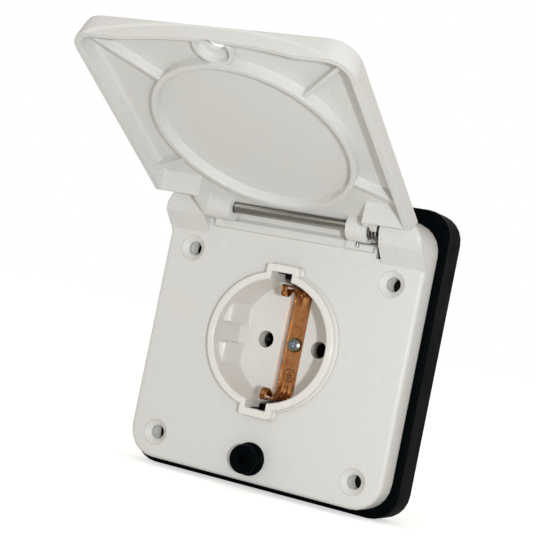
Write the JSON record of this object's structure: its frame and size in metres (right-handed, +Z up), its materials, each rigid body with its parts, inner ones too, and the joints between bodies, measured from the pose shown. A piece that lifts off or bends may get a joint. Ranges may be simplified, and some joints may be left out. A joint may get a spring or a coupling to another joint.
{
  "type": "caravan outdoor mains socket",
  "caption": "Square white flush-mounted outdoor mains socket with a sprung lid held open, a round plug well with a central earth strap, a rubber latch knob and a black rubber gasket.",
  "frame": {"origin": "where the axis of the round plug well crosses the wall plane, which is the back of the rubber gasket", "axes": "+Z up with the lid hinged along the top edge, +Y into the wall, so the front looks along -Y, +X to the viewer's right"},
  "size_m": [0.094, 0.1219, 0.1266],
  "materials": {
    "white_plastic": "off-white moulded plastic with a soft gloss",
    "black_rubber": "matt black rubber",
    "copper_alloy": "bare copper alloy strip, slightly tarnished",
    "steel": "plain bright steel",
    "brass": "plain turned brass",
    "grey_insulation": "dark grey moulded insulation"
  },
  "bodies": {
    "base": {"gasket": "black_rubber", "base_plate": "white_plastic", "socket_cup": "white_plastic", "earth_strap": "copper_alloy", "earth_screw": "steel", "latch_knob": "black_rubber", "hinge_rod": "steel", "hinge_spring_left": "steel", "hinge_spring_right": "steel", "contact_carrier": "grey_insulation", "live_contact": "brass", "neutral_contact": "brass", "earth_terminal": "brass", "live_terminal_screw": "steel", "neutral_terminal_screw": "steel", "earth_terminal_screw": "steel", "carrier_screw_lower": "steel", "carrier_screw_upper": "steel", "rear_cover": "grey_insulation", "cover_screw_left": "steel", "cover_screw_right": "steel", "cable_grommet": "black_rubber"},
    "lid": {"lid": "white_plastic"}
  },
  "joints": [
    {"name": "lid_hinge", "type": "hinge", "parent": "base", "child": "lid", "pos_m": [0, -0.02443, 0.039], "axis": [1, 0, 0], "range_deg": [0, 118.4], "stiffness_Nm_per_rad": 0.022, "springref_deg": -34.38, "deforming": ["hinge_spring_left", "hinge_spring_right"]}
  ]
}
